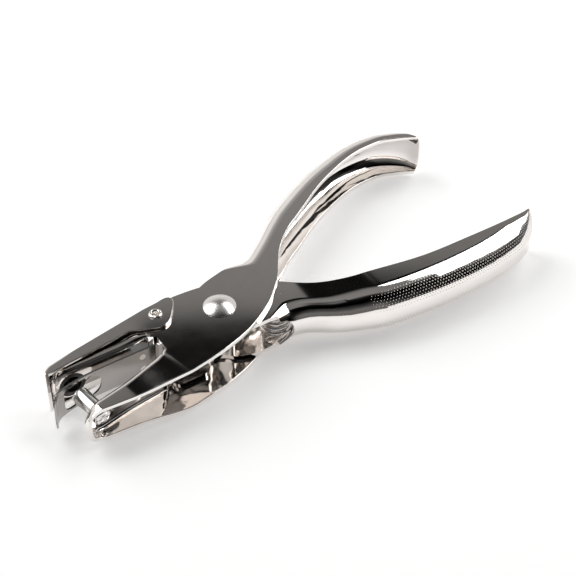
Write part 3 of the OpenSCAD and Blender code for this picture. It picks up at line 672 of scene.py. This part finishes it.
ear = smooth_line([(-13.5, 11.1), (-11.3, 11.5), (-9.9, 11.35), (-9.1, 10.5), (-9.2, 9.1), (-10.5, 6.9),
                   (-12.3, 4.5), (-13.5, 3.1), (-14.9, 2.2), (-16.5, 1.9), (-18, 2.1)], 5)
rear, front = THROAT_X + 3.6, JAW_REACH - 2.4
outline = cover_line(0) + ear + [(-rear, cover_wall(rear) - COVER_FLANGE - FLANGE_MORE),
                                 (-front, cover_wall(front) - COVER_FLANGE),
                                 (-COVER_NOSE + COVER_T + COVER_CORNER, NOSE_END)]
cover = prism("chip_cover_folded", outline, -COVER_HALF - COVER_T, COVER_HALF + COVER_T)
hollow = prism("cut_e", [(-COVER_NOSE + COVER_T, -FAR)] + cover_line(COVER_T)
               + [(-WALL_END, FAR), (FAR, FAR), (FAR, -FAR)], -COVER_HALF, COVER_HALF)
cut(cover, [hollow, rod("hole", Matrix.Translation((-COVER_RIVET_X, COVER_RIVET_Y, -20)),
                        COVER_RIVET_D / 2 + RUN_FIT, 40)])


def fold_weight(edge):
    """Share of the widest easing: none at the nose's lower corner, little on plain edges, and on the
    folds wide round the nose and narrow along the wall and at the sheet's end."""
    if all(v.co.x < -COVER_NOSE + 2.5 and v.co.y < NOSE_END + 0.3 for v in edge.verts):
        return 0.0
    high = max(max(v.co.z for v in f.verts) - min(v.co.z for v in f.verts) for f in edge.link_faces)
    level = all(abs(abs(v.co.z) - COVER_HALF - COVER_T) < 0.01 for v in edge.verts)
    if not (level and high > 10):
        return PLAIN_SHARE
    x, y = [sum(v.co[k] for v in edge.verts) / 2 for k in (0, 1)]
    return min(ease(1.0, 0.28, (x + COVER_NOSE - 1.2) / 4),
               ease(0.22, 1.0, (y - NOSE_END - 0.4) / 3.0))


ease_edges(cover, fold_weight, COVER_EASE)
cover.data.transform(MOVE_UP)


# ---------------------------------------------------------------- return spring
def leg_rest(lines, cheek, half_at):
    """Where a leg of the spring rests inside a handle, in the lever's own plan."""
    step = HAND_SHARE[1] * (HANDLE_REACH - HAND_START)
    u = JAW_POINTS + len(cheek) + (SPRING_REACH - HAND_START) / step
    b, e = curve_at(lines[0], u), curve_at(lines[1], u)
    half = half_at(SPRING_REACH)
    ro = min(HANDLE_ROUND, half - ROUND_SPARE)
    up = min(0.95 * (ro - SHEET), max(0.0, (SPRING_RISE + SPRING_WIRE) / 2 - half + ro))
    inner = SHEET + (ro - SHEET) - math.sqrt((ro - SHEET) ** 2 - up ** 2)
    return b + (e - b) / np.linalg.norm(e - b) * (inner + SPRING_WIRE / 2 + LEG_GAP)


SPRING_RISE = SPRING_PITCH * (SPRING_TURNS + PART_TURN)
centre = np.array(SPRING_AT)
die_leg = leg_rest(DIE_LINES, DIE_CHEEK_BACK, die_half)
q = leg_rest(PUNCH_LINES, PUNCH_CHEEK_BACK, punch_half)
c, n = math.cos(math.radians(REST_OPEN)), math.sin(math.radians(REST_OPEN))
punch_leg = np.array([q[0] * c + q[1] * n, q[0] * n - q[1] * c])


def tangent(leg, side):
    """Angle on the coil where a straight leg leaves it."""
    d = leg - centre
    return math.atan2(d[1], d[0]) + side * math.acos(SPRING_R / np.linalg.norm(d))


turn_from, turn_to = tangent(die_leg, 1), tangent(punch_leg, -1)
sweep = 2 * math.pi * (SPRING_TURNS + 1) + turn_to - turn_from
low, high = Z_MID - SPRING_RISE / 2, Z_MID + SPRING_RISE / 2
coil = [(centre[0] + SPRING_R * math.cos(a), centre[1] + SPRING_R * math.sin(a), z)
        for a, z in [(turn_from + sweep * k, low + SPRING_RISE * k) for k in np.linspace(0, 1, 200)]]


def leg_points(p, q, z, shares):
    """Points of a straight leg from p to q at height z."""
    p, q = np.array(p), np.array(q)
    return [tuple(np.append(p + (q - p) * k, z)) for k in shares]


lead = leg_points(die_leg, coil[0][:2], low, np.linspace(0, 0.97, 10))
tail = leg_points(coil[-1][:2], punch_leg, high, np.linspace(0.03, 1, 24))
path = np.array(lead + coil + tail)


def tube(name, path, r, sides=14):
    """A round wire along a path, its two ends eased."""
    rings = []
    way = np.gradient(path, axis=0)
    for i, (p, d) in enumerate(zip(path, way)):
        d = Vector(d).normalized()
        side = d.cross(Vector((0, 0, 1))).normalized()
        up = side.cross(d)
        size = r * (0.72 if i in (0, len(path) - 1) else 1.0)
        rings.append([tuple(Vector(p) + size * (math.cos(a) * side + math.sin(a) * up))
                      for a in np.linspace(0, 2 * math.pi, sides, endpoint=False)])
    return loft(name, np.array(rings))


spring = tube("return_spring_wound", path, SPRING_WIRE / 2)
finish_mesh(spring, smooth=50)

for obj in (rivet, pin, bush, eyelet, strip, cover, spring):
    in_metres(obj)
for obj in (punch, die, strip, cover):
    even_normals(obj)


# ---------------------------------------------------------------- materials
GRAIN_DEPTH, PRESS_DEPTH = 0.000012, 0.0006


def math_node(tree, op, a, b):
    """A maths node; a and b are numbers or sockets."""
    node = tree.nodes.new("ShaderNodeMath")
    node.operation = op
    for i, v in enumerate((a, b)):
        if isinstance(v, (int, float)):
            node.inputs[i].default_value = v
        else:
            tree.links.new(v, node.inputs[i])
    return node.outputs[0]


def map_range(tree, value, a, b, lo, hi, kind="LINEAR"):
    """Takes a value from the range a to b into the range lo to hi."""
    node = tree.nodes.new("ShaderNodeMapRange")
    node.interpolation_type = kind
    for key, v in zip(("From Min", "From Max", "To Min", "To Max"), (a, b, lo, hi)):
        node.inputs[key].default_value = v
    tree.links.new(value, node.inputs["Value"])
    return node.outputs[0]


def plated(name, base, rough, grain=0.0, smudge=0.04, specks=0.0, bump=0.15, dark=None, wave=0.0):
    """Polished or satin plated steel: smudged gloss, fine drawn grain and a little dust.

    base is the colour, rough the lowest roughness, grain the depth of the drawn lines, dark an
    optional second colour that the wear mixes in, wave the unevenness left by the press where
    the mesh's own "pressed" value is high."""
    mat = bpy.data.materials.new(name)
    mat.use_nodes = True
    nt = mat.node_tree
    bsdf = nt.nodes["Principled BSDF"]
    bsdf.inputs["Metallic"].default_value = 1
    new, link = nt.nodes.new, nt.links.new
    coord = new("ShaderNodeTexCoord")

    def noise(scale, detail, stretch=(1, 1, 1)):
        place = new("ShaderNodeMapping")
        place.inputs["Scale"].default_value = stretch
        link(coord.outputs["Object"], place.inputs["Vector"])
        tex = new("ShaderNodeTexNoise")
        tex.inputs["Scale"].default_value = scale
        tex.inputs["Detail"].default_value = detail
        link(place.outputs[0], tex.inputs["Vector"])
        return tex.outputs["Fac"]

    def calc(op, a, b):
        return math_node(nt, op, a, b)

    def span(value, *limits):
        return map_range(nt, value, *limits)

    cloud = noise(110, 5)
    fine = noise(2600, 3)
    lines = noise(900, 4, (0.12, 2.2, 2.2))
    gloss = span(cloud, 0.35, 0.7, rough, rough + smudge)
    gloss = calc("ADD", gloss, span(fine, 0.3, 0.7, 0.0, smudge * 0.5))
    cells = new("ShaderNodeTexVoronoi")
    cells.inputs["Scale"].default_value = 520
    link(coord.outputs["Object"], cells.inputs["Vector"])
    dot = span(cells.outputs["Distance"], 0.05, 0.09, 1.0, 0.0)
    pick = new("ShaderNodeSeparateColor")
    link(cells.outputs["Color"], pick.inputs[0])
    dust = calc("MULTIPLY", dot, calc("GREATER_THAN", pick.outputs[0], 1.0 - specks))
    gloss = calc("ADD", gloss, calc("MULTIPLY", dust, 0.35))
    link(gloss, bsdf.inputs["Roughness"])
    tint = new("ShaderNodeMix")
    tint.data_type = "RGBA"
    tint.inputs["A"].default_value = (*base, 1)
    tint.inputs["B"].default_value = (*(dark or [v * 0.9 for v in base]), 1)
    link(span(noise(240, 6), 0.45, 0.75, 0.0, 0.55 if dark else 0.35), tint.inputs["Factor"])
    link(tint.outputs["Result"], bsdf.inputs["Base Color"])
    height = calc("ADD", calc("MULTIPLY", lines, grain), calc("MULTIPLY", fine, 0.4))
    height = calc("ADD", height, calc("MULTIPLY", dust, 0.8))
    ridge = new("ShaderNodeBump")
    ridge.inputs["Strength"].default_value = bump
    ridge.inputs["Distance"].default_value = GRAIN_DEPTH
    link(height, ridge.inputs["Height"])
    if wave:
        mask = new("ShaderNodeAttribute")
        mask.attribute_name = "pressed"
        swell = new("ShaderNodeBump")
        swell.inputs["Strength"].default_value = wave
        swell.inputs["Distance"].default_value = PRESS_DEPTH
        link(calc("MULTIPLY", noise(190, 1), mask.outputs["Fac"]), swell.inputs["Height"])
        link(ridge.outputs[0], swell.inputs["Normal"])
        ridge = swell
    link(ridge.outputs[0], bsdf.inputs["Normal"])
    return mat


def mark_pressed(obj, lines, place, half_at):
    """Marks the points inside a lever's channel, where the press leaves the sheet less even."""
    back = place.inverted()
    us = np.linspace(0, len(lines[0]) - 1, 400)
    wall = np.array([curve_at(lines[0], u) for u in us])
    rim = np.array([curve_at(lines[1], u) for u in us])
    mid = (wall + rim) / 2
    layer = obj.data.attributes.new("pressed", "FLOAT", "POINT")
    values = np.zeros(len(obj.data.vertices))
    for v in obj.data.vertices:
        p = back @ (v.co / MM)
        i = int(np.argmin((mid[:, 0] - p.x) ** 2 + (mid[:, 1] - p.y) ** 2))
        d = (rim[i] - wall[i]) / np.linalg.norm(rim[i] - wall[i])
        inward = d[0] * (p.x - wall[i][0]) + d[1] * (p.y - wall[i][1])
        if abs(p.z) < half_at(p.x) - 0.5 * SHEET and inward > 0.5 * SHEET:
            values[v.index] = ease(2.2, 1.0, (p.x + 12) / 12)
    layer.data.foreach_set("value", values)


nickel = plated("nickel_polished", (0.90, 0.862, 0.832), 0.045, grain=0.2, smudge=0.025, specks=0.03,
                wave=0.16)
satin = plated("nickel_satin", (0.80, 0.775, 0.755), 0.22, grain=0.2, smudge=0.08, specks=0.03,
               bump=0.5)
bright = plated("nickel_bright", (0.90, 0.868, 0.838), 0.06, grain=0.9, smudge=0.05, specks=0.01)
sheet = plated("stripper_sheet", (0.45, 0.43, 0.415), 0.13, grain=1.0, smudge=0.08, specks=0.02)
ground = plated("steel_ground", (0.80, 0.785, 0.765), 0.14, grain=1.0, smudge=0.1, specks=0.02,
                bump=0.6)
wire = plated("steel_wire", (0.66, 0.645, 0.63), 0.16, grain=0.8, smudge=0.1, specks=0.02,
              dark=(0.42, 0.4, 0.385))
# Near-black colour of the die bush is painted shade: it stands in for the shadow inside the die hole
# behind the stripper
bush_shade_steel = plated("steel_painted_shade", (0.055, 0.052, 0.05), 0.26, grain=0.5, smudge=0.12, specks=0.02,
               dark=(0.12, 0.112, 0.105))

mark_pressed(punch, PUNCH_LINES, PUNCH_PLACE, punch_half)
mark_pressed(die, DIE_LINES, MOVE_UP, die_half)
for obj, body, node, mat, slot in (
        (punch, "punch_side", "punch_lever", nickel, "nickel_plate"),
        (die, "die_side", "die_lever", nickel, "nickel_plate"),
        (rivet, "die_side", "pivot_rivet", satin, "bright_plate"),
        (pin, "punch_side", "punch_pin", ground, "tool_steel"),
        # the die bush takes the near-black painted shade
        (bush, "die_side", "die_bush", bush_shade_steel, "tool_steel"),
        (strip, "die_side", "stripper", sheet, "bright_plate"),
        (cover, "cover", "chip_cover", nickel, "bright_plate"),
        (eyelet, "die_side", "cover_rivet", bright, "bright_plate"),
        (spring, None, "return_spring", wire, "tool_steel")):
    obj.data.materials.clear()
    obj.data.materials.append(mat)
    if body:
        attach(obj, body)
    else:
        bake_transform(obj)
    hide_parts(node)
for node, mat in (("pivot_spacer", ground), ("paper_stop", ground), ("stripper_rivets", bright)):
    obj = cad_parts[node]
    for i in range(len(obj.material_slots)):
        obj.material_slots[i].material = mat

# ---------------------------------------------------------------- stage, light, camera
# The photo's camera: its heading and height, the scale at its target and its distance
AZ, EL = math.radians(33), math.radians(42)
PX_PER_MM, CAMERA_MM, SENSOR_MM, PHOTO_PX = 3.65, 380, 36, 576
FLOOR_LIFT = 0.31
target = Vector((0.0195, -0.0039, 0.0157))
ahead = Vector((math.sin(AZ), math.cos(AZ), 0))
right = Vector((math.cos(AZ), -math.sin(AZ), 0))

floor = mesh_object("floor", [(-6, -6, 0), (6, -6, 0), (6, 6, 0), (-6, 6, 0)], [(0, 1, 2, 3)])
fm = bpy.data.materials.new("floor_white")
fm.use_nodes = True
fn = fm.node_tree
matt = fn.nodes["Principled BSDF"]
matt.inputs["Base Color"].default_value = (0.93, 0.93, 0.93, 1)
matt.inputs["Roughness"].default_value = 0.9
matt.inputs["Specular IOR Level"].default_value = 0.1
# The background is lifted to white for the camera and in reflections, and keeps the shadow
rays = fn.nodes.new("ShaderNodeLightPath").outputs
seen = rays["Is Camera Ray"]
for ray in ("Is Glossy Ray", "Is Transmission Ray"):
    seen = math_node(fn, "MAXIMUM", seen, rays[ray])
matt.inputs["Emission Color"].default_value = (1, 1, 1, 1)
fn.links.new(math_node(fn, "MULTIPLY", seen, FLOOR_LIFT), matt.inputs["Emission Strength"])
floor.data.materials.append(fm)

world = bpy.data.worlds.new("studio")
world.use_nodes = True
bpy.context.scene.world = world
wn = world.node_tree
coord = wn.nodes.new("ShaderNodeTexCoord")


def along(axis):
    """How far the ray points along an axis, from -1 to 1."""
    node = wn.nodes.new("ShaderNodeVectorMath")
    node.operation = "DOT_PRODUCT"
    wn.links.new(coord.outputs["Generated"], node.inputs[0])
    node.inputs[1].default_value = axis
    return node.outputs["Value"]


def ranged(value, *limits, kind="SMOOTHSTEP"):
    return map_range(wn, value, *limits, kind)


def combine(op, a, b):
    return math_node(wn, op, a, b)


def banded(value, stops):
    """Warm greys from a ramp of (position, brightness) stops."""
    def grey(v):
        return v, v * 0.985, v * 0.97, 1

    node = wn.nodes.new("ShaderNodeValToRGB")
    el = node.color_ramp.elements
    for i in (0, -1):
        el[i].position, el[i].color = stops[i][0], grey(stops[i][1])
    for pos, v in stops[1:-1]:
        el.new(pos).color = grey(v)
    wn.links.new(value, node.inputs[0])
    return node.outputs[0]


def blended(factor, a, b):
    node = wn.nodes.new("ShaderNodeMix")
    node.data_type = "RGBA"
    wn.links.new(factor, node.inputs["Factor"])
    wn.links.new(a, node.inputs["A"])
    wn.links.new(b, node.inputs["B"])
    return node.outputs["Result"]


# The studio: pale backdrop ahead, a dark gap above it that reaches lower on the right and ends on
# the left, a dim ceiling, a dark flag low on the right, and a dark room behind the camera with a
# faint wall at its far end
BACKDROP = ((0, 0.7), (0.1, 0.78), (0.3, 0.84), (0.36, 0.74), (0.46, 0.42))
CEILING = ((0.82, 0.006), (0.90, 0.16), (1.0, 0.22))
MIDDLE_GAP = ((0.6, 0.24), (0.67, 0.195), (0.679, 0.185), (0.688, 0.003))
RIGHT_GAP = ((0.58, 0.2), (0.63, 0.17), (0.652, 0.165), (0.666, 0.003))
LEFT_GAP = ((0.6, 0.24), (0.69, 0.18), (0.7215, 0.16), (0.728, 0.006))
up, side = along((0, 0, 1)), combine("DIVIDE", along(right), along(ahead))
middle = banded(up, BACKDROP + MIDDLE_GAP + CEILING)
beside = banded(up, BACKDROP + RIGHT_GAP + CEILING)
slant = combine("ADD", up, ranged(side, -0.205, 0.145, -0.015, 0.09, kind="LINEAR"))
left = banded(slant, BACKDROP + LEFT_GAP + CEILING)
studio = blended(ranged(side, 0.0, 0.07, 0.0, 1.0), middle, beside)
studio = blended(ranged(side, -0.152, -0.135, 1.0, 0.0), studio, left)
room = combine("ADD", ranged(along(ahead), -0.3, 0.05, 0.02, 1.0),
               ranged(along(ahead), -0.85, -0.55, 0.16, 0.0))
room = combine("MULTIPLY", room, ranged(along(right), 0.78, 0.92, 1.0, 0.04))
background = wn.nodes["Background"]
wn.links.new(studio, background.inputs["Color"])
wn.links.new(room, background.inputs["Strength"])


def softbox(name, azimuth, elevation, width, height, power, roll=0, distance=0.9):
    """A softbox at an azimuth to the right of the view and an elevation, in degrees."""
    a, e = math.radians(azimuth), math.radians(elevation)
    way = (ahead * math.cos(a) + right * math.sin(a)) * math.cos(e) + Vector((0, 0, math.sin(e)))
    lamp = bpy.data.lights.new(name, "AREA")
    lamp.shape, lamp.size, lamp.size_y, lamp.energy = "RECTANGLE", width, height, power
    obj = bpy.data.objects.new(name, lamp)
    obj.location = target + way * distance
    turn = (-way).to_track_quat("-Z", "Y") @ Quaternion((0, 0, 1), math.radians(roll))
    obj.rotation_euler = turn.to_euler()
    bpy.context.scene.collection.objects.link(obj)


softbox("left", -68, 46, 0.7, 0.7, 4.6)
softbox("right", 57.8, 48.4, 0.84, 0.4, 3.93, roll=10)

cam_data = bpy.data.cameras.new("photo_camera")
cam_data.lens = PX_PER_MM * CAMERA_MM * SENSOR_MM / PHOTO_PX
cam_data.sensor_width, cam_data.sensor_fit = SENSOR_MM, "HORIZONTAL"
cam_data.clip_start, cam_data.clip_end = 0.01, 50
cam = bpy.data.objects.new("photo_camera", cam_data)
reach = CAMERA_MM * MM
cam.location = target - ahead * (reach * math.cos(EL)) + Vector((0, 0, reach * math.sin(EL)))
cam.rotation_euler = (target - cam.location).to_track_quat("-Z", "Y").to_euler()
bpy.context.scene.collection.objects.link(cam)
bpy.context.scene.camera = cam
bpy.context.scene.view_settings.view_transform = "Standard"
